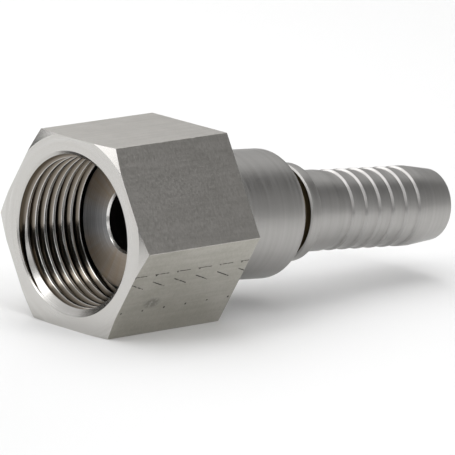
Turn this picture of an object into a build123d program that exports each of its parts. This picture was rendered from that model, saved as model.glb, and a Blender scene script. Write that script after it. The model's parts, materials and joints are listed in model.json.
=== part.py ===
"""Face seal hose fitting: a slip-on hexagon swivel nut on a one-piece turned hose tail.

Frame: X runs along the nut from its open mouth (X = 0) towards the hose, +Z is up and the nut
lies on one of its hexagon flats. The tail hangs in the nut's rear hole by its own weight, as far
as the clearance there lets it tip. Millimetres.
"""

import os
from math import acos, atan2, cos, hypot, radians, sin, sqrt, tan

from build123d import *

# ---- Swivel nut ------------------------------------------------------------------------------
thread_major_diameter = 25.4
thread_pitch = 25.4 / 14
nut_wall = 2.3                   # thread's major radius to a flat: a 30 mm spanner size
nut_length = 23.7
front_circle_excess = 1.1        # the circle on the front face is this much wider than the flats
corner_chamfer_angle = 18.0      # degrees between the corner chamfer and the front face
mouth_margin = 0.22              # the mouth chamfer starts this far outside the major radius
run_out_length = 1.5             # thread run-out, from the full thread into the chamber
relief_margin = 0.4              # the chamber is this much wider than the major radius

hole_land_length = 2.9           # plain stretch of the rear hole that carries the tail
hole_rear_chamfer = 0.4
hole_clearance = 0.34            # on diameter, between the rear hole and the collar
contact_gap = 0.03               # left at each point where the tipped tail meets the nut
seat_gap = 0.15                  # between the nut's seat and the head's back

# ---- Hose tail -------------------------------------------------------------------------------
seal_face_setback = 11.9         # sealing face behind the nut's mouth plane
head_side_gap = 0.67             # between the head and the thread's minor radius
head_edge_chamfer = 0.3
head_shoulder = 0.79             # radial step from the head down to the collar
bore_diameter = 10.0
bore_front_chamfer = 0.35
bore_rear_chamfer = 0.3

collar_reach = 17.25             # the collar stands this far out behind the nut
collar_rounding = 1.95

groove_width = 2.65              # groove that the ferrule is pressed into
groove_diameter = 13.0

ring_diameter = 15.66
ring_width = 2.1                 # plain stretch of the ring, front chamfer included
ring_front_chamfer = 0.25
ring_shoulder_angle = 50.0       # degrees that the ring's rear shoulder falls at
ring_edge_rounding = 0.5

land_diameter = 12.97
land_length = 4.57

rib_diameter = 12.91
rib_depth = 0.28
rib_pitch = 2.94
rib_count = 6
rib_step_length = 0.3            # axial run of a rib's steep side, which faces the nut
rib_crest_length = 0.1

lead_length = 2.06               # plain stretch from the last rib to the taper
tip_taper_length = 5.6
tip_wall = 0.75                  # wall left round the bore at the tip
tip_rounding = 0.3

# ---- Worked out from the sizes above ---------------------------------------------------------
thread_height_factor = 1.0825    # the minor diameter is this many pitches under the major
thread_major_radius = thread_major_diameter / 2
thread_minor_radius = thread_major_radius - thread_height_factor * thread_pitch / 2
across_flats = thread_major_diameter + 2 * nut_wall
relief_radius = thread_major_radius + relief_margin

head_radius = thread_minor_radius - head_side_gap
collar_radius = head_radius - head_shoulder
bore_radius = bore_diameter / 2
hole_radius = collar_radius + hole_clearance / 2

# The tail tips about the middle of the hole's land until the collar meets the land's front edge
# above and its rear edge below.
touching_diameter = 2 * (collar_radius + contact_gap)
hole_diagonal = hypot(2 * hole_radius, hole_land_length)
droop = acos(touching_diameter / hole_diagonal) - atan2(hole_land_length, 2 * hole_radius)
land_rear = nut_length - hole_rear_chamfer
land_front = land_rear - hole_land_length
pivot_x = (land_front + land_rear) / 2

# The seat is a 45 degree cone in front of the land. The head's back is the same cone, set so far
# forward that its upper rim clears the seat while the tail is tipped.
seat_line = land_front + hole_radius - sqrt(2) * seat_gap
head_rim_reach = head_radius * (sin(droop) + cos(droop))
head_back = pivot_x - (head_rim_reach + pivot_x - seat_line) / (cos(droop) - sin(droop))

# What is screwed in stops at the foremost rim of the tipped head, so the full thread ends there.
thread_end = seal_face_setback - head_radius * sin(droop)

# ---- Swivel nut: a length of hexagon bar, corner chamfered, bored and relieved ----------------
corner_radius = across_flats / 2 / cos(radians(30))
front_circle_radius = (across_flats + front_circle_excess) / 2
corner_chamfer_run = (corner_radius - front_circle_radius) * tan(radians(corner_chamfer_angle))
mouth_radius = thread_major_radius + mouth_margin
mouth_chamfer_run = mouth_radius - thread_minor_radius

with BuildPart() as swivel_nut:
    with BuildSketch(Plane.YZ):
        RegularPolygon(radius=across_flats / 2, side_count=6, major_radius=False)
    extrude(amount=nut_length)

    # The lead-in chamfer: only what lies inside this turned outline is kept.
    with BuildSketch(Plane.XZ):
        with BuildLine():
            Polyline(
                (0, 0),
                (0, front_circle_radius),
                (corner_chamfer_run, corner_radius),
                (nut_length, corner_radius),
                (nut_length, 0),
                close=True,
            )
        make_face()
    revolve(axis=Axis.X, mode=Mode.INTERSECT)

    # The opening: mouth, thread at its minor diameter, chamber, conical seat and rear hole.
    with BuildSketch(Plane.XZ):
        with BuildLine():
            Polyline(
                (0, 0),
                (0, mouth_radius),
                (mouth_chamfer_run, thread_minor_radius),
                (thread_end, thread_minor_radius),
                (thread_end + run_out_length, relief_radius),
                (land_front + hole_radius - relief_radius, relief_radius),
                (land_front, hole_radius),
                (land_rear, hole_radius),
                (nut_length, hole_radius + hole_rear_chamfer),
                (nut_length, 0),
                close=True,
            )
        make_face()
    revolve(axis=Axis.X, mode=Mode.SUBTRACT)

swivel_nut.part.label = "swivel_nut"

# ---- Hose tail: one turned piece on its own, tipped axis --------------------------------------
# Its outline is drawn in the tipped plane, as distances from the nut's mouth and from its axis.
tail_direction = Vector(cos(droop), 0, -sin(droop))
tail_origin = Vector(pivot_x, 0, 0) - tail_direction * pivot_x
tail_plane = Plane(origin=tail_origin, x_dir=tail_direction, z_dir=(0, -1, 0))
tail_axis = Axis(tail_origin, tail_direction)

ring_radius = ring_diameter / 2
land_radius = land_diameter / 2
rib_crest_radius = rib_diameter / 2
rib_root_radius = rib_crest_radius - rib_depth
tip_radius = bore_radius + tip_wall

collar_end = nut_length + collar_reach
groove_end = collar_end + groove_width
ring_end = groove_end + ring_width
land_start = ring_end + (ring_radius - land_radius) / tan(radians(ring_shoulder_angle))
land_end = land_start + land_length
first_root = land_end + rib_pitch - rib_step_length - rib_crest_length
last_crest = first_root + (rib_count - 1) * rib_pitch + rib_step_length
taper_start = last_crest + lead_length
tip = taper_start + tip_taper_length

rib_outline = []
for number in range(rib_count):
    root = first_root + number * rib_pitch
    crest = root + rib_step_length
    rib_outline.append((root, rib_root_radius))
    rib_outline.append((crest, rib_crest_radius))
    rib_outline.append((crest + rib_crest_length, rib_crest_radius))


def corner(sketch, distance, radius):
    """The outline's corner at this distance from the mouth and from the axis."""
    return sketch.vertices().sort_by_distance((distance, radius, 0))[0]


with BuildPart() as hose_tail:
    with BuildSketch(tail_plane) as section:
        with BuildLine():
            Polyline(
                (seal_face_setback, bore_radius + bore_front_chamfer),
                (seal_face_setback, head_radius - head_edge_chamfer),
                (seal_face_setback + head_edge_chamfer, head_radius),
                (head_back, head_radius),
                (head_back + head_shoulder, collar_radius),
                (collar_end, collar_radius),
                (collar_end, groove_diameter / 2),
                (groove_end, groove_diameter / 2),
                (groove_end, ring_radius - ring_front_chamfer),
                (groove_end + ring_front_chamfer, ring_radius),
                (ring_end, ring_radius),
                (land_start, land_radius),
                (land_end, land_radius),
                *rib_outline,
                (taper_start, rib_crest_radius),
                (tip, tip_radius),
                (tip, bore_radius + bore_rear_chamfer),
                (tip - bore_rear_chamfer, bore_radius),
                (seal_face_setback + bore_front_chamfer, bore_radius),
                close=True,
            )
        make_face()
        fillet(corner(section, collar_end, collar_radius), collar_rounding)
        fillet(corner(section, ring_end, ring_radius), ring_edge_rounding)
        fillet(corner(section, tip, tip_radius), tip_rounding)
    revolve(axis=tail_axis)

hose_tail.part.label = "hose_tail"

os.makedirs("parts", exist_ok=True)
export_step(swivel_nut.part, "parts/swivel_nut.step")
export_step(hose_tail.part, "parts/hose_tail.step")
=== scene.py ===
"""Face seal hose fitting: the swivel nut with its cut thread, and the turned hose tail.

Metres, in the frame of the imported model: X runs from the nut's open mouth towards the hose, +Z is
up and the nut lies on one of its flats. Outlines are given in millimetres, as on a drawing.
"""

import json
from math import atan2, cos, degrees, floor, pi, radians, sin, tan

import bmesh
import bpy
from mathutils import Matrix, Vector


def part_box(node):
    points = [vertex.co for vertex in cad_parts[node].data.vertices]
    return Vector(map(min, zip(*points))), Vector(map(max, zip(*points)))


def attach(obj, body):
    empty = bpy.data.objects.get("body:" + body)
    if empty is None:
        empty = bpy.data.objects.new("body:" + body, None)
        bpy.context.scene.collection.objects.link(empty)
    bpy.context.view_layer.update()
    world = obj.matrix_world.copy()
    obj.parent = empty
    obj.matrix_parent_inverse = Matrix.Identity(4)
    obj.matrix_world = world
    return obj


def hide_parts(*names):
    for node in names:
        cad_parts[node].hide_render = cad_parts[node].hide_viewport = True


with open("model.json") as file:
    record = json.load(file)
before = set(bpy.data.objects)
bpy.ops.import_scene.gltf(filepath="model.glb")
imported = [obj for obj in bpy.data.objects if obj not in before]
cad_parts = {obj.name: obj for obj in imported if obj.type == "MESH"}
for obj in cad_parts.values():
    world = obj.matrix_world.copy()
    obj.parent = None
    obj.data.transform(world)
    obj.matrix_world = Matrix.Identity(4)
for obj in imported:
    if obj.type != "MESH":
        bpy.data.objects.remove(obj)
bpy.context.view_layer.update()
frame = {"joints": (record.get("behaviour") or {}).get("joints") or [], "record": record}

MM = 0.001

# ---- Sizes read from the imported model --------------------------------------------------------
nut_low, nut_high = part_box("swivel_nut")
mounts = {mount["name"]: mount for mount in frame["record"]["mounts"]}
swivel = frame["joints"][0]

nut_length = (nut_high.x - nut_low.x) / MM
across_flats = (nut_high.z - nut_low.z) / MM
thread_minor_radius = mounts["nut_thread"]["dims"]["r_mm"]
bore_radius = mounts["flow_bore"]["dims"]["r_mm"]
land_radius = mounts["hose_land"]["dims"]["r_mm"]
land_length = mounts["hose_land"]["dims"]["length_mm"]

tail_direction = Vector(swivel["axis"]).normalized()
tail_pivot = Vector(swivel["pos_m"]) / MM
tail_origin = tail_pivot - tail_direction * tail_pivot.x
droop = atan2(-tail_direction.z, tail_direction.x)

# ---- Swivel nut, millimetres -----------------------------------------------------------------
nut_origin = Vector((0, 0, 0))
front_circle_radius = 15.55      # the front face ends at this circle, or at the flats
corner_chamfer_slope = tan(radians(18))
stock_radius = 18.5              # round stock that the flats are cut on

mouth_radius = 12.92
thread_pitch = 25.4 / 14
thread_major_radius = 12.72
crest_width = thread_pitch / 4
root_width = thread_pitch / 10
tapping_stock = 0.3              # left inside the crests for the tap to cut away
crest_rounding = 0.12
root_rounding = 0.08
thread_phase = 0.75 * thread_pitch     # where along X a crest's middle lies on the +Y side
thread_start = -3.0              # the tap starts in front of the mouth
thread_turns = 10                # and ends in the chamber
relief_start = 13.4
relief_radius = 13.1
land_front = 20.4
land_rear = 23.3
hole_radius = 10.428
marked_flat = Vector((0, -cos(radians(30)), -sin(radians(30))))     # faces this way
dent_pitch = 4.45                # of the handling marks along that flat
dent_depth = 6                   # as a multiple of the flat's grain
dent_colour = (0.05, 0.047, 0.042)
edge_break = 0.1                 # bevel on the hexagon's six long edges and its rear rim
mouth_tolerance = 0.02           # a face this near the mouth chamfer's cone lies on it

# ---- Hose tail, millimetres ------------------------------------------------------------------
fine_rounding = 0.04             # of the bore's two ends and the ribs' steps
chamfer_rounding = 0.05          # of the chamfers on the head and the ring
edge_rounding = 0.1
seal_face = 11.9
bore_edge = 0.35                 # chamfer at the front of the bore
head_radius = 11.048
head_edge = 0.3
head_back = 18.498
head_shoulder = 0.79
collar_radius = head_radius - head_shoulder
collar_end = 40.95
collar_rounding = 1.95
groove_end = 43.6
groove_radius = 6.5
ring_end = 45.7
ring_radius = 7.83
ring_edge = 0.25
ring_rounding = 0.5
land_start = 46.829
land_rounding = 0.2
land_end = land_start + land_length
rib_crest_radius = 6.455
rib_depth = 0.28
rib_pitch = 2.94
rib_count = 6
rib_step = 0.3
rib_crest = 0.1
first_root = 53.939
taper_start = 70.999
taper_rounding = 2.0
tip = 76.599
tip_radius = 5.75
tip_rounding = 0.3
tip_edge = 0.3                   # chamfer at the rear of the bore

# ---- Meshes ----------------------------------------------------------------------------------
turn_steps = 180                 # facets round a turned surface
facet_bend = 11                  # degrees that a rounding bends at each of its facets
sharp_angle = radians(12)        # edges that bend more than this are drawn sharp

# ---- Tool marks, metres deep -----------------------------------------------------------------
drawn_grain = 2e-6
lathe_grooves = 3e-6
seat_rings = 4e-6
thread_streaks = 1e-6
fine_cut = 5e-7

# ---- Studio, metres --------------------------------------------------------------------------
camera_azimuth = radians(-43.156)
camera_elevation = radians(12.640)
camera_roll = radians(2.672)
camera_distance = 1.149
camera_shift_right = 0.024012
camera_shift_up = 0.001014
focal_length = 590.7             # millimetres, on a sensor 36 mm wide

studio_centre = Vector((0.030, 0, 0))
screen_distance = 0.7
floor_half_width = 1.5
floor_grey = 0.82
sky_brightness = 0.72


# ---- Making turned shapes --------------------------------------------------------------------
def round_corner(bm, vert, reach, segments):
    """Rounds an outline's corner; the rounding starts this far from it on both sides."""
    bmesh.ops.bevel(
        bm,
        geom=[vert],
        affect="VERTICES",
        offset=reach,
        offset_type="OFFSET",
        segments=segments,
        profile=0.5,
        material=-1,
        clamp_overlap=False,
    )


def outline(corners):
    """A closed outline in the plane Y = 0: (along X, radius, rounding radius) for each corner."""
    bm = bmesh.new()
    verts = [bm.verts.new((x, 0, radius)) for x, radius, rounding in corners]
    for vert, following in zip(verts, verts[1:] + verts[:1]):
        bm.edges.new((vert, following))
    for number, (x, radius, rounding) in enumerate(corners):
        if rounding:
            here = Vector((x, radius))
            before = Vector(corners[number - 1][:2])
            after = Vector(corners[(number + 1) % len(corners)][:2])
            bend = (here - before).angle(after - here)
            segments = max(2, round(degrees(bend) / facet_bend))
            round_corner(bm, verts[number], rounding * tan(bend / 2), segments)
    return bm


def turn(bm):
    """Spins the outline round the X axis into a closed, outward-facing solid."""
    bmesh.ops.spin(
        bm,
        geom=bm.verts[:] + bm.edges[:],
        cent=(0, 0, 0),
        axis=(1, 0, 0),
        dvec=(0, 0, 0),
        angle=2 * pi,
        steps=turn_steps,
        use_merge=True,
        use_duplicate=False,
    )
    bmesh.ops.remove_doubles(bm, verts=bm.verts[:], dist=1e-6)
    bmesh.ops.recalc_face_normals(bm, faces=bm.faces[:])


def finish_mesh(bm, name):
    """Writes the millimetre mesh as an object in metres, smooth but for its real edges."""
    bmesh.ops.scale(bm, vec=(MM, MM, MM), verts=bm.verts[:])
    mesh = bpy.data.meshes.new(name)
    bm.to_mesh(mesh)
    bm.free()
    mesh.shade_smooth()
    mesh.set_sharp_from_angle(angle=sharp_angle)
    obj = bpy.data.objects.new(name, mesh)
    bpy.context.scene.collection.objects.link(obj)
    return obj


# ---- Swivel nut ------------------------------------------------------------------------------
def nut_blank():
    """The nut before its thread is cut: turned inside and out, then cut to a hexagon."""
    below_thread = thread_minor_radius - tapping_stock
    bm = outline([
        (0, front_circle_radius, 0),
        (0, mouth_radius, 0),
        (mouth_radius - below_thread, below_thread, 0),
        (relief_start, below_thread, 0),
        (relief_start, relief_radius, 0),
        (land_front + hole_radius - relief_radius, relief_radius, 0),
        (land_front, hole_radius, 0),
        (land_rear, hole_radius, 0),
        (nut_length, hole_radius + nut_length - land_rear, 0),
        (nut_length, stock_radius, 0),
        ((stock_radius - front_circle_radius) * corner_chamfer_slope, stock_radius, 0),
    ])
    turn(bm)
    for number in range(6):
        angle = radians(90 + 60 * number)
        outwards = Vector((0, cos(angle), sin(angle)))
        cut = bmesh.ops.bisect_plane(
            bm,
            geom=bm.verts[:] + bm.edges[:] + bm.faces[:],
            dist=1e-5,
            plane_co=outwards * across_flats / 2,
            plane_no=outwards,
            clear_outer=True,
        )
        rim = [item for item in cut["geom_cut"] if isinstance(item, bmesh.types.BMEdge)]
        bmesh.ops.edgeloop_fill(bm, edges=rim)
    bmesh.ops.remove_doubles(bm, verts=bm.verts[:], dist=1e-5)
    bmesh.ops.recalc_face_normals(bm, faces=bm.faces[:])
    bmesh.ops.bevel(
        bm,
        geom=hexagon_edges(bm),
        affect="EDGES",
        offset=edge_break,
        offset_type="OFFSET",
        segments=2,
        profile=0.5,
        material=-1,
    )
    return bm


def hexagon_edges(bm):
    """The edges where a flat meets the next flat, or the nut's rear face."""
    found = []
    for edge in bm.edges:
        flats = [face for face in edge.link_faces if abs(face.normal.x) < 0.01 and len(face.verts) > 4]
        ends = [face for face in edge.link_faces if face.normal.x > 0.99]
        if len(flats) == 2 or (flats and ends):
            found.append(edge)
    return found


def thread_tap():
    """A solid screw with the thread's form, which the nut's thread is cut with."""
    flank = (thread_pitch - crest_width - root_width) / 2
    half_crest = crest_width / 2
    corners = [
        (0, thread_minor_radius, 0),
        (half_crest, thread_minor_radius, crest_rounding),
        (half_crest + flank, thread_major_radius, root_rounding),
        (half_crest + flank + root_width, thread_major_radius, root_rounding),
        (thread_pitch - half_crest, thread_minor_radius, crest_rounding),
        (thread_pitch, thread_minor_radius, 0),
    ]
    bm = bmesh.new()
    verts = [bm.verts.new((x, radius, 0)) for x, radius, rounding in corners]
    for vert, following in zip(verts, verts[1:]):
        bm.edges.new((vert, following))
    for vert, (x, radius, rounding) in zip(verts, corners):
        if rounding:
            round_corner(bm, vert, rounding, 3)
    first = thread_phase % thread_pitch + thread_pitch * floor(thread_start / thread_pitch)
    bmesh.ops.translate(bm, vec=(first, 0, 0), verts=bm.verts[:])
    bmesh.ops.spin(
        bm,
        geom=bm.verts[:] + bm.edges[:],
        cent=(0, 0, 0),
        axis=(1, 0, 0),
        dvec=(thread_pitch / turn_steps, 0, 0),
        angle=2 * pi,
        steps=turn_steps,
        use_merge=False,
        use_duplicate=False,
    )
    one_turn = bm.verts[:] + bm.edges[:] + bm.faces[:]
    for number in range(1, thread_turns):
        copy = bmesh.ops.duplicate(bm, geom=one_turn)["geom"]
        copied = [item for item in copy if isinstance(item, bmesh.types.BMVert)]
        bmesh.ops.translate(bm, vec=(number * thread_pitch, 0, 0), verts=copied)
    bmesh.ops.remove_doubles(bm, verts=bm.verts[:], dist=1e-4)
    open_edges = [edge for edge in bm.edges if edge.is_boundary]
    caps = bmesh.ops.holes_fill(bm, edges=open_edges, sides=0)["faces"]
    bmesh.ops.poke(bm, faces=caps)
    bmesh.ops.recalc_face_normals(bm, faces=bm.faces[:])
    return bm


def build_nut():
    """The blank with its thread cut by the tap."""
    blank = finish_mesh(nut_blank(), "swivel_nut_threaded")
    tap = finish_mesh(thread_tap(), "thread_tap")
    cut = blank.modifiers.new("thread", "BOOLEAN")
    cut.operation = "DIFFERENCE"
    cut.solver = "EXACT"
    cut.object = tap
    depsgraph = bpy.context.evaluated_depsgraph_get()
    threaded = bpy.data.meshes.new_from_object(blank.evaluated_get(depsgraph))
    blank.modifiers.clear()
    blank.data = threaded
    bpy.data.objects.remove(tap)
    threaded.shade_smooth()
    threaded.set_sharp_from_angle(angle=sharp_angle)
    return blank


# ---- Hose tail -------------------------------------------------------------------------------
def build_tail():
    """The tail's outline turned about its own axis, then tipped into place."""
    corners = [
        (seal_face, bore_radius + bore_edge, fine_rounding),
        (seal_face, head_radius - head_edge, chamfer_rounding),
        (seal_face + head_edge, head_radius, chamfer_rounding),
        (head_back, head_radius, edge_rounding),
        (head_back + head_shoulder, collar_radius, 0),
        (collar_end, collar_radius, collar_rounding),
        (collar_end, groove_radius, edge_rounding),
        (groove_end, groove_radius, edge_rounding),
        (groove_end, ring_radius - ring_edge, chamfer_rounding),
        (groove_end + ring_edge, ring_radius, chamfer_rounding),
        (ring_end, ring_radius, ring_rounding),
        (land_start, land_radius, land_rounding),
        (land_end, land_radius, edge_rounding),
    ]
    for number in range(rib_count):
        root = first_root + number * rib_pitch
        corners.append((root, rib_crest_radius - rib_depth, fine_rounding))
        corners.append((root + rib_step, rib_crest_radius, fine_rounding))
        corners.append((root + rib_step + rib_crest, rib_crest_radius, edge_rounding))
    corners += [
        (taper_start, rib_crest_radius, taper_rounding),
        (tip, tip_radius, tip_rounding),
        (tip, bore_radius + tip_edge, fine_rounding),
        (tip - tip_edge, bore_radius, fine_rounding),
        (seal_face + bore_edge, bore_radius, fine_rounding),
    ]
    bm = outline(corners)
    turn(bm)
    place = Matrix.Translation(tail_origin) @ Matrix.Rotation(droop, 4, "Y")
    bmesh.ops.transform(bm, matrix=place, verts=bm.verts[:])
    return finish_mesh(bm, "hose_tail_turned")


# ---- Finishes --------------------------------------------------------------------------------
def add(tree, kind, settings=None, **inputs):
    """A new node, with its settings, and its inputs set to a value or linked to a socket."""
    made = tree.nodes.new(kind)
    for name, value in (settings or {}).items():
        setattr(made, name, value)
    for name, value in inputs.items():
        connect(tree, made.inputs[name.replace("_", " ")], value)
    return made


def connect(tree, socket, value):
    """Links an input to a socket, or sets it to a number, a vector or an RGB colour."""
    if isinstance(value, bpy.types.NodeSocket):
        tree.links.new(value, socket)
    elif socket.type == "RGBA":
        socket.default_value = (*value, 1)
    else:
        socket.default_value = value


def maths(tree, operation, *values):
    """The operation's result on these sockets and numbers."""
    made = tree.nodes.new("ShaderNodeMath")
    made.operation = operation
    for socket, value in zip(made.inputs, values):
        connect(tree, socket, value)
    return made.outputs["Value"]


def noise(tree, vector, scale, detail=2.0, roughness=0.5):
    """Noise, with about this many waves to a unit of the position."""
    made = add(
        tree, "ShaderNodeTexNoise", Vector=vector, Scale=scale, Detail=detail, Roughness=roughness
    )
    return made.outputs["Fac"]


def ranged(tree, value, low, high):
    """The value's middle stretch, where noise mostly lies, spread over low to high."""
    made = add(
        tree, "ShaderNodeMapRange", Value=value, From_Min=0.3, From_Max=0.7, To_Min=low, To_Max=high
    )
    return made.outputs["Result"]


def spread(tree, value, low, high, first, last):
    """The value from low to high, eased over first to last, and held beyond both."""
    made = add(
        tree,
        "ShaderNodeMapRange",
        {"interpolation_type": "SMOOTHSTEP"},
        Value=value,
        From_Min=low,
        From_Max=high,
        To_Min=first,
        To_Max=last,
    )
    return made.outputs["Result"]


def tinted(tree, value, first, last):
    """From the first colour to the last as the value goes from 0 to 1."""
    made = add(tree, "ShaderNodeMix", {"data_type": "RGBA"})
    connect(tree, made.inputs["Factor"], value)
    connect(tree, made.inputs[6], first)
    connect(tree, made.inputs[7], last)
    return made.outputs[2]


def lathe_position(tree, origin, tilt):
    """Position about a turned piece's own axis: distance along it, and distance from it."""
    place = add(tree, "ShaderNodeTexCoord").outputs["Object"]
    upright = Matrix.Rotation(-tilt, 3, "Y")
    square = add(
        tree,
        "ShaderNodeMapping",
        Vector=place,
        Location=-(upright @ (origin * MM)),
        Rotation=(0, -tilt, 0),
    )
    parts = add(tree, "ShaderNodeSeparateXYZ", Vector=square.outputs["Vector"])
    across = maths(tree, "POWER", parts.outputs["Y"], 2)
    above = maths(tree, "POWER", parts.outputs["Z"], 2)
    radius = maths(tree, "SQRT", maths(tree, "ADD", across, above))
    return parts.outputs, radius


def steel(name):
    """A metal material: its tree, and its shader."""
    material = bpy.data.materials.new(name)
    material.use_nodes = True
    shader = material.node_tree.nodes["Principled BSDF"]
    shader.inputs["Metallic"].default_value = 1
    return material, material.node_tree, shader


def emboss(tree, shader, height, depth):
    """Gives the surface this relief, as deep in metres as stated for a height of 1."""
    bump = add(tree, "ShaderNodeBump", Height=height, Distance=depth)
    connect(tree, shader.inputs["Normal"], bump.outputs["Normal"])


def turned_steel(name, origin, tilt, dark, light, roughness, groove_depth):
    """Steel off the lathe: fine grooves that run round the axis, on faces and barrels alike."""
    material, tree, shader = steel(name)
    place, radius = lathe_position(tree, origin, tilt)
    change_round_axis = 0.03     # lets a groove change a little on its way round
    sideways = maths(tree, "ADD", place["Y"], place["Z"])
    drift = maths(tree, "MULTIPLY", sideways, change_round_axis)
    grooved = add(tree, "ShaderNodeCombineXYZ", X=place["X"], Y=radius, Z=drift).outputs["Vector"]
    fine = noise(tree, grooved, 6500, detail=3, roughness=0.6)
    broad = noise(tree, grooved, 1600, detail=4, roughness=0.6)

    connect(tree, shader.inputs["Base Color"], tinted(tree, ranged(tree, broad, 0, 1), dark, light))
    connect(tree, shader.inputs["Roughness"], ranged(tree, broad, *roughness))
    emboss(tree, shader, fine, groove_depth)
    return material


def thread_steel(name, root, flank, roughness):
    """The thread's flanks, a darkened copy of the crest steel that paints the shade inside the thread:
    lighter towards the crests, and near black in the roots for the deeper shade there.
    """
    # painted shade: from the first radius out to the second, the flank colour darkens to the root's
    # near black
    unshaded_radius, shaded_radius, raggedness = 11.82 * MM, 12.45 * MM, 0.1 * MM
    change_round_axis = 0.6 * MM     # to a radian, so that the streaks run round
    material, tree, shader = steel(name)
    place, radius = lathe_position(tree, nut_origin, 0)
    around = maths(tree, "ARCTAN2", place["Y"], place["Z"])
    stretched = maths(tree, "MULTIPLY", around, change_round_axis)
    streaky = add(tree, "ShaderNodeCombineXYZ", X=radius, Y=stretched).outputs["Vector"]
    streaks = noise(tree, streaky, 9000, detail=3, roughness=0.6)
    ragged = maths(tree, "ADD", radius, maths(tree, "MULTIPLY", streaks, raggedness))
    unshaded = spread(tree, ragged, unshaded_radius, shaded_radius, 1, 0)
    connect(tree, shader.inputs["Base Color"], tinted(tree, unshaded, root, flank))
    connect(tree, shader.inputs["Roughness"], ranged(tree, streaks, *roughness))
    emboss(tree, shader, streaks, thread_streaks)
    return material


def seat_steel(name, origin, tilt, reflected_brown, grey, light, roughness):
    """The sealing face: turned rings and scratches that fan outwards, with a painted reflection: brown
    towards the top and bottom, grey across the middle.
    """
    reflection_middle, reflection_start, reflection_full, raggedness = -1.5 * MM, 3 * MM, 7 * MM, 4 * MM
    change_outwards = 0.1            # small, so that the scratches fan out from the bore
    material, tree, shader = steel(name)
    place, radius = lathe_position(tree, origin, tilt)
    around = maths(tree, "ARCTAN2", place["Y"], place["Z"])
    outwards = maths(tree, "MULTIPLY", radius, change_outwards)
    rings = add(tree, "ShaderNodeCombineXYZ", X=radius).outputs["Vector"]
    fan = add(tree, "ShaderNodeCombineXYZ", X=outwards, Y=around).outputs["Vector"]
    ring_marks = noise(tree, rings, 3000, detail=3, roughness=0.7)
    scratches = noise(tree, fan, 9, detail=4, roughness=0.7)
    clouds = noise(tree, fan, 0.9, detail=2)
    steel_tone = tinted(tree, ranged(tree, ring_marks, 0, 1), grey, light)
    # painted reflection: the face turns brown with distance above and below its middle, for the
    # surroundings it reflects there
    from_middle = maths(tree, "ABSOLUTE", maths(tree, "SUBTRACT", place["Z"], reflection_middle))
    ragged = maths(tree, "ADD", from_middle, maths(tree, "MULTIPLY", clouds, raggedness))
    reach = spread(tree, ragged, reflection_start, reflection_full, 0, 1)
    painted_reflection = maths(tree, "MULTIPLY", reach, ranged(tree, scratches, 0.5, 1))
    connect(tree, shader.inputs["Base Color"], tinted(tree, painted_reflection, steel_tone, reflected_brown))
    connect(tree, shader.inputs["Roughness"], ranged(tree, scratches, *roughness))
    height = maths(tree, "ADD", ring_marks, maths(tree, "MULTIPLY", scratches, 0.6))
    emboss(tree, shader, height, seat_rings)
    return material


def flat_position(tree):
    """Position on the hexagon: X, and how far round it from the top, both in metres."""
    place = add(tree, "ShaderNodeTexCoord").outputs["Object"]
    parts = add(tree, "ShaderNodeSeparateXYZ", Vector=place).outputs
    around = maths(tree, "MULTIPLY", maths(tree, "ARCTAN2", parts["Y"], parts["Z"]), nut_high.z)
    return parts, add(tree, "ShaderNodeCombineXYZ", X=parts["X"], Y=around).outputs["Vector"]


def milled_steel(name, dark, light, roughness, grain_depth, marked=False):
    """The hexagon's flats: a fine grain across each flat, and faint drawn lines along it."""
    material, tree, shader = steel(name)
    parts, flat = flat_position(tree)
    across = add(tree, "ShaderNodeMapping", Vector=flat, Scale=(1, 0.7, 1)).outputs["Vector"]
    along = add(tree, "ShaderNodeMapping", Vector=flat, Scale=(0.05, 1, 1)).outputs["Vector"]
    grain = noise(tree, across, 2600, detail=4, roughness=0.7)
    drawn = noise(tree, along, 1300, detail=3, roughness=0.6)
    cloud = noise(tree, flat, 260, detail=3, roughness=0.6)

    mottle = maths(tree, "ADD", grain, maths(tree, "MULTIPLY", drawn, 0.7))
    mottle = maths(tree, "ADD", mottle, maths(tree, "MULTIPLY", cloud, 0.6))
    tone = tinted(tree, spread(tree, mottle, 0.85, 1.45, 0, 1), dark, light)
    height = maths(tree, "ADD", grain, maths(tree, "MULTIPLY", drawn, 0.5))
    if marked:
        marks = handling_marks(tree, parts)
        tone = tinted(tree, marks, tone, dent_colour)
        height = maths(tree, "SUBTRACT", height, maths(tree, "MULTIPLY", marks, dent_depth))
    connect(tree, shader.inputs["Base Color"], tone)
    connect(tree, shader.inputs["Roughness"], ranged(tree, grain, *roughness))
    emboss(tree, shader, height, grain_depth)
    return material


def handling_marks(tree, parts):
    """Rows of short dents that a feed roller left across one flat, evenly spaced along it."""
    along = maths(tree, "DIVIDE", parts["X"], MM)
    rise = maths(tree, "MULTIPLY", parts["Z"], cos(radians(30)))
    lean = maths(tree, "MULTIPLY", parts["Y"], -sin(radians(30)))
    up_flat = maths(tree, "DIVIDE", maths(tree, "ADD", rise, lean), MM)
    on_flat = add(tree, "ShaderNodeCombineXYZ", X=along, Y=up_flat).outputs["Vector"]
    wear = spread(tree, noise(tree, on_flat, 1.7, detail=3), 0.36, 0.52, 0.25, 1)
    long_strokes = {"start": 4.00, "height": 4.15, "length": 2.9, "slope": -0.02, "width": 0.10}
    stroke_ends = {"start": 4.20, "height": 3.95, "length": 0.35, "slope": 0.0, "width": 0.20}
    slanted_strokes = {"start": 4.25, "height": 2.65, "length": 3.0, "slope": -0.43, "width": 0.13}
    low_dots = {"start": 4.95, "height": -3.40, "length": 0.35, "slope": 0.0, "width": 0.24}
    marks = maths(tree, "MULTIPLY", stain(tree, along, up_flat), 0.4)
    for row in (long_strokes, stroke_ends, slanted_strokes, low_dots):
        marks = maths(tree, "MAXIMUM", marks, dent_row(tree, along, up_flat, **row))
    return maths(tree, "MULTIPLY", marks, wear)


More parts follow.
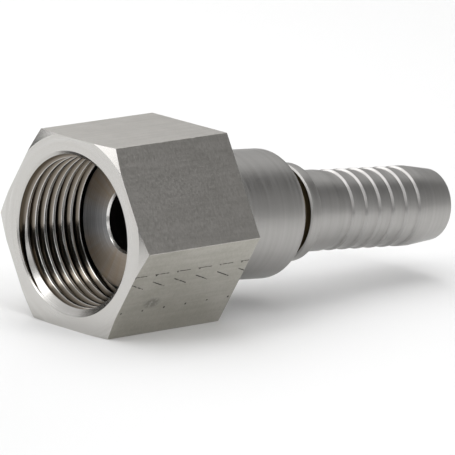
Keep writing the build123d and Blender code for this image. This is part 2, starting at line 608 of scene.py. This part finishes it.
def stain(tree, along, up_flat):
    """A soft oval patch low on the flat: 1 at its middle, and 0 from its rim outwards."""
    middle_along, middle_height, flatness = 6.4, -2.0, 0.6
    beside = maths(tree, "MULTIPLY", maths(tree, "SUBTRACT", along, middle_along), flatness)
    above = maths(tree, "SUBTRACT", up_flat, middle_height)
    beside_squared = maths(tree, "MULTIPLY", beside, beside)
    above_squared = maths(tree, "MULTIPLY", above, above)
    return spread(tree, maths(tree, "ADD", beside_squared, above_squared), 0.1, 1.6, 1, 0)


def dent_row(tree, along, up_flat, start, height, length, slope, width):
    """One dent in each pitch of the row, in millimetres; height is its start's, up the flat."""
    from_start = maths(tree, "SUBTRACT", along, start)
    dents_passed = maths(tree, "FLOOR", maths(tree, "DIVIDE", from_start, dent_pitch))
    run = maths(tree, "SUBTRACT", from_start, maths(tree, "MULTIPLY", dents_passed, dent_pitch))
    line = maths(tree, "ADD", maths(tree, "MULTIPLY", run, slope), height)
    off_line = maths(tree, "ABSOLUTE", maths(tree, "SUBTRACT", up_flat, line))
    beside = spread(tree, off_line, width / 2, width, 1, 0)
    begun = spread(tree, run, 0, 0.1, 0, 1)
    ended = spread(tree, run, length, length + 0.1, 1, 0)
    return maths(tree, "MULTIPLY", beside, maths(tree, "MULTIPLY", begun, ended))


def nut_finishes():
    """The nut's finishes, each under the name that nut_finish_at gives it."""
    drawn = {"roughness": (0.3, 0.4), "grain_depth": drawn_grain}
    return {
        "turned": turned_steel(
            "nut_turned",
            nut_origin,
            0,
            dark=(0.54, 0.526, 0.502),
            light=(0.61, 0.60, 0.58),
            roughness=(0.2, 0.28),
            groove_depth=lathe_grooves,
        ),
        "flat": milled_steel(
            "nut_flats", dark=(0.47, 0.455, 0.425), light=(0.565, 0.545, 0.515), **drawn
        ),
        # painted shade: this lower flat's colours are darker and yellower than the other flats', for
        # the shade it lies in; its dents and stain are real marks
        "shaded marked flat": milled_steel(
            "nut_marked_flat_shaded", dark=(0.41, 0.395, 0.35), light=(0.50, 0.485, 0.44), marked=True, **drawn
        ),
        "crest": turned_steel(
            "nut_thread_crests",
            nut_origin,
            0,
            dark=(0.60, 0.59, 0.57),
            light=(0.67, 0.66, 0.64),
            roughness=(0.12, 0.16),
            groove_depth=fine_cut,
        ),
        # painted shade: the flanks' dark brown and the near-black root colour stand in for the shade
        # inside the thread
        "flank": thread_steel(
            "nut_thread_flanks",
            root=(0.07, 0.056, 0.04),
            flank=(0.275, 0.242, 0.205),
            roughness=(0.1, 0.16),
        ),
    }


def nut_finish_at(face):
    """Flats, thread and all that is turned each get their own finish."""
    along = face.center.x / MM
    from_axis = Vector((face.center.y, face.center.z)).length / MM
    on_mouth = abs(along + from_axis - mouth_radius) < mouth_tolerance
    if abs(face.normal.x) < 0.1 and from_axis > relief_radius + 0.5:
        return "shaded marked flat" if face.normal.dot(marked_flat) > 0.99 else "flat"
    if along < relief_start - 0.01 and from_axis < thread_major_radius + 0.01 and not on_mouth:
        return "crest" if from_axis < thread_minor_radius + 0.8 * crest_rounding else "flank"
    return "turned"


def tail_steel(name, dark, light, roughness, groove_depth=lathe_grooves):
    """Steel turned about the tail's own, tipped axis."""
    return turned_steel(name, tail_origin, droop, dark, light, roughness, groove_depth)


def tail_finishes():
    """The tail's finishes, each under the name that tail_finish_at gives it."""
    return {
        "barrel": tail_steel(
            "tail_turned",
            dark=(0.395, 0.386, 0.372),
            light=(0.455, 0.446, 0.434),
            roughness=(0.36, 0.44),
        ),
        # painted shade: the bore's dark colour stands in for the shade inside the tube
        "bore": tail_steel(
            "tail_bore", dark=(0.16, 0.15, 0.14), light=(0.24, 0.23, 0.21), roughness=(0.3, 0.4)
        ),
        # painted highlight: the rim's bright colour stands in for the thin line of light along the
        # bore's edge
        "bore rim": tail_steel(
            "tail_bore_rim_highlight",
            dark=(0.74, 0.73, 0.71),
            light=(0.8, 0.79, 0.77),
            roughness=(0.14, 0.2),
            groove_depth=fine_cut,
        ),
        # painted reflection: the brown stands in for the surroundings that the sealing face reflects
        # above and below its middle
        "seal face": seat_steel(
            "tail_seal_face",
            tail_origin,
            droop,
            reflected_brown=(0.51, 0.41, 0.30),
            grey=(0.41, 0.413, 0.425),
            light=(0.72, 0.722, 0.735),
            roughness=(0.4, 0.55),
        ),
        # painted shade: the groove's dark olive-brown stands in for the shade in the recess between
        # collar and ring
        "groove": tail_steel(
            "tail_groove_shaded", dark=(0.13, 0.11, 0.07), light=(0.2, 0.17, 0.12), roughness=(0.3, 0.4)
        ),
        "cut edge": tail_steel(
            "tail_cut_edges",
            dark=(0.4, 0.39, 0.38),
            light=(0.45, 0.44, 0.43),
            roughness=(0.27, 0.33),
            groove_depth=fine_cut,
        ),
    }


def tail_finish_at(face):
    """Bore and its rim, sealing face, groove and cut edges differ from the turned barrel."""
    offset = face.center / MM - tail_origin
    along = offset.dot(tail_direction)
    from_axis = (offset - tail_direction * along).length
    in_head = along < seal_face + 0.5
    in_groove = collar_end - 0.01 < along < groove_end + 0.01
    if from_axis < bore_radius + 0.01:
        return "bore"
    if along < seal_face + 0.01 and from_axis > bore_radius + 0.3:
        return "seal face"
    if in_groove and from_axis < groove_radius + 0.9:
        return "groove"
    if in_head and from_axis < bore_radius + 0.5:
        return "bore rim"
    if (in_head or along > land_end) and abs(face.normal.dot(tail_direction)) > 0.3:
        return "cut edge"
    return "barrel"


def paint(obj, finishes, finish_at):
    """Gives each face of the piece the finish that finish_at names for it."""
    mesh = obj.data
    mesh.materials.clear()
    for material in finishes.values():
        mesh.materials.append(material)
    order = list(finishes)
    for face in mesh.polygons:
        face.material_index = order.index(finish_at(face))


# ---- Studio ----------------------------------------------------------------------------------
def camera():
    """A long lens, from low on the side of the open mouth."""
    level = cos(camera_elevation)
    back = Vector((sin(camera_azimuth) * level, -cos(camera_azimuth) * level, sin(camera_elevation)))
    level_right = Vector((cos(camera_azimuth), sin(camera_azimuth), 0))
    level_up = back.cross(level_right)
    right = level_right * cos(camera_roll) + level_up * sin(camera_roll)
    up = level_up * cos(camera_roll) - level_right * sin(camera_roll)
    data = bpy.data.cameras.new("camera")
    data.sensor_width = 36
    data.lens = focal_length
    data.clip_start = 0.05
    data.clip_end = 20
    obj = bpy.data.objects.new("camera", data)
    place = back * camera_distance + right * camera_shift_right + up * camera_shift_up
    facing = Matrix((right, up, back)).transposed()
    obj.matrix_world = Matrix.Translation(place) @ facing.to_4x4()
    bpy.context.scene.collection.objects.link(obj)
    bpy.context.scene.camera = obj


def bearing(azimuth, elevation):
    """The direction at this azimuth, from +X towards +Y, and elevation, in degrees."""
    around, above = radians(azimuth), radians(elevation)
    return Vector((cos(around) * cos(above), sin(around) * cos(above), sin(above)))


def softbox(name, azimuth, elevation, distance, width, height, brightness):
    """A lamp whose face is this many times as bright as white paper."""
    data = bpy.data.lights.new(name, "AREA")
    data.shape = "RECTANGLE"
    data.size = width
    data.size_y = height
    data.energy = brightness * pi * width * height
    obj = bpy.data.objects.new(name, data)
    outwards = bearing(azimuth, elevation)
    obj.location = studio_centre + outwards * distance
    obj.rotation_euler = outwards.to_track_quat("Z", "Y").to_euler()
    obj.visible_camera = False
    bpy.context.scene.collection.objects.link(obj)


def stage_object(bm, name, grey):
    """Writes the mesh as part of the studio, in a plain matt grey."""
    mesh = bpy.data.meshes.new(name)
    bm.to_mesh(mesh)
    bm.free()
    obj = bpy.data.objects.new(name, mesh)
    bpy.context.scene.collection.objects.link(obj)
    material = bpy.data.materials.new(name)
    material.use_nodes = True
    shader = material.node_tree.nodes["Principled BSDF"]
    shader.inputs["Base Color"].default_value = (grey, grey, grey, 1)
    shader.inputs["Roughness"].default_value = 0.9
    shader.inputs["Specular IOR Level"].default_value = 0.1
    mesh.materials.append(material)
    return obj


def screen(name, azimuth_from, azimuth_to, low, high, brightness, distance=screen_distance):
    """A curved screen round the object, as bright as stated, where white paper is 1."""
    bm = bmesh.new()
    rows = 6
    elevations = [low + (high - low) * row / rows for row in range(rows + 1)]
    side = [
        bm.verts.new(studio_centre + bearing(azimuth_from, elevation) * distance)
        for elevation in elevations
    ]
    edges = [bm.edges.new(pair) for pair in zip(side, side[1:])]
    bmesh.ops.spin(
        bm,
        geom=side + edges,
        cent=studio_centre,
        axis=(0, 0, 1),
        dvec=(0, 0, 0),
        angle=radians(azimuth_to - azimuth_from),
        steps=16,
        use_merge=False,
        use_duplicate=False,
    )
    obj = stage_object(bm, name, 0)
    shader = obj.data.materials[0].node_tree.nodes["Principled BSDF"]
    shader.inputs["Emission Color"].default_value = (1, 1, 1, 1)
    shader.inputs["Emission Strength"].default_value = brightness
    obj.visible_camera = False


def sky():
    """An even white all round."""
    world = bpy.data.worlds.new("studio")
    bpy.context.scene.world = world
    world.use_nodes = True
    background = world.node_tree.nodes["Background"]
    background.inputs["Color"].default_value = (1, 1, 1, 1)
    background.inputs["Strength"].default_value = sky_brightness


def floor_sheet():
    """The pale floor that the nut lies on."""
    bm = bmesh.new()
    bmesh.ops.create_grid(bm, x_segments=1, y_segments=1, size=floor_half_width)
    bmesh.ops.translate(bm, vec=(0, 0, nut_low.z), verts=bm.verts[:])
    stage_object(bm, "floor", floor_grey)


def screens():
    """What each steel face reflects: name, azimuths, elevations in degrees, and brightness."""
    screen("screen_low", 240, 300, -1, 12, 0)
    screen("screen_corner_low", 203, 240, -1, 12, 0.35)
    screen("screen_mouth", 168, 203, -1, 28, 0)
    screen("screen_mouth_close", 168, 192, -5.3, 28, 0, distance=0.16)
    screen("screen_side_low", 60, 168, -1, 7, 0)
    screen("screen_side", 105, 140, 7, 28, 1.25)
    screen("screen_side_front", 140, 168, 7, 28, 2.0)
    screen("screen_back", 60, 105, 7, 28, 0.25)
    screen("screen_far", 0, 60, -1, 28, 0.33)
    screen("screen_near_low", 300, 360, -1, 12, 0.42)
    screen("screen_near", 300, 360, 12, 28, 0.29)
    screen("screen_near_high", 300, 360, 28, 65, 0.06)
    screen("screen_camera", 240, 300, 12, 28, 0.4)
    screen("screen_corner", 203, 240, 12, 28, 0.9)
    screen("screen_corner_high", 195, 240, 28, 65, 0.5)


def lamps():
    """Four soft lamps: name, azimuth and elevation, distance, width, height and brightness."""
    softbox("key", 70, 46, 0.7, 0.5, 0.45, 2.05)
    softbox("above", 90, 90, 0.7, 0.7, 0.7, 1.2)
    softbox("front", 180, 46, 0.7, 0.25, 0.45, 2.1)
    softbox("camera_side", 270, 46, 0.7, 0.5, 0.45, 1.9)


nut = build_nut()
paint(nut, nut_finishes(), nut_finish_at)
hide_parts("swivel_nut")
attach(nut, "nut")

tail = build_tail()
paint(tail, tail_finishes(), tail_finish_at)
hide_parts("hose_tail")
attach(tail, "tail")

bpy.context.scene.view_settings.view_transform = "Standard"
camera()
sky()
floor_sheet()
screens()
lamps()
